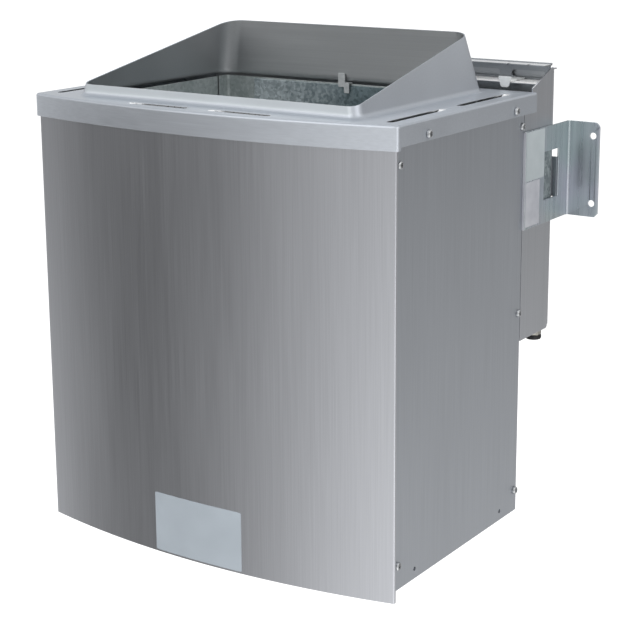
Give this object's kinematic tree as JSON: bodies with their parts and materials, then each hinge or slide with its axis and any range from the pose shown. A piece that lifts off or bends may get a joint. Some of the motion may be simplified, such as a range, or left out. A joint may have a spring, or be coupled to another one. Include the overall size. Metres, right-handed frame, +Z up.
{
  "type": "sauna heater stove",
  "caption": "Wall-hung electric sauna heater: bulged stainless casing, inclined stone hopper drawn up from the top cover, element loops in a stone chamber, rear wiring casing and wall brackets.",
  "frame": {"origin": "on the wall plane, midway between the two wall brackets and midway between each bracket's holes", "axes": "+X to the right seen from the front, +Y to the wall, +Z up"},
  "size_m": [0.4736, 0.3606, 0.4873],
  "materials": {
    "brushed_stainless": "vertical brushing, satin",
    "plain_stainless": "mill finish sheet",
    "galvanised_steel": "hot-dip galvanised, spangled",
    "zinc_plated_steel": "zinc plated, bluish passivation",
    "element_sheath": "heat-darkened alloy tube",
    "ceramic_body": "unglazed steatite",
    "brass_stud": "turned brass",
    "nickel_plated_brass": "nickel plated",
    "black_nylon": "moulded, matt",
    "screw_steel": "bright stainless"
  },
  "bodies": {
    "wall_brackets": {"right_wall_bracket": "zinc_plated_steel", "left_wall_bracket": "zinc_plated_steel"},
    "heater": {"front_panel": "brushed_stainless", "right_side_panel": "brushed_stainless", "left_side_panel": "brushed_stainless", "top_cover": "brushed_stainless", "chamber_clip": "plain_stainless", "element_carrier": "plain_stainless", "right_casing_side": "plain_stainless", "left_casing_side": "plain_stainless", "casing_back_plate": "plain_stainless", "casing_bottom_lid": "plain_stainless", "slotted_baffle": "plain_stainless", "front_heat_shield": "plain_stainless", "rear_heat_shield": "plain_stainless", "stone_chamber": "galvanised_steel", "chamber_liner": "galvanised_steel", "front_chamber_rail": "galvanised_steel", "rear_chamber_rail": "galvanised_steel", "lower_rear_rail": "galvanised_steel", "terminal_tray": "galvanised_steel", "right_hook_tongue": "zinc_plated_steel", "left_hook_tongue": "zinc_plated_steel", "right_shield_clip": "zinc_plated_steel", "left_shield_clip": "zinc_plated_steel", "heating_element_1": "element_sheath", "heating_element_2": "element_sheath", "heating_element_3": "element_sheath", "terminal_block": "ceramic_body", "earth_stud": "brass_stud", "gland_body": "nickel_plated_brass", "gland_lock_nut": "nickel_plated_brass", "gland_dome_nut": "black_nylon", "right_cover_screw_1": "screw_steel", "left_cover_screw_1": "screw_steel", "right_cover_screw_2": "screw_steel", "left_cover_screw_2": "screw_steel", "right_rear_edge_screw_1": "screw_steel", "left_rear_edge_screw_1": "screw_steel", "right_rear_edge_screw_2": "screw_steel", "left_rear_edge_screw_2": "screw_steel", "right_rear_edge_screw_3": "screw_steel", "left_rear_edge_screw_3": "screw_steel", "right_front_edge_screw_1": "screw_steel", "left_front_edge_screw_1": "screw_steel", "right_front_edge_screw_2": "screw_steel", "left_front_edge_screw_2": "screw_steel"},
    "grate": {"stone_grate": "plain_stainless"}
  },
  "joints": [
    {"name": "heater_lift", "type": "slide", "parent": "wall_brackets", "child": "heater", "axis": [0, 0, 1], "range_m": [0, 0.007]},
    {"name": "grate_lift", "type": "slide", "parent": "heater", "child": "grate", "axis": [0, 0, 1], "range_m": [0, 0.3]}
  ]
}
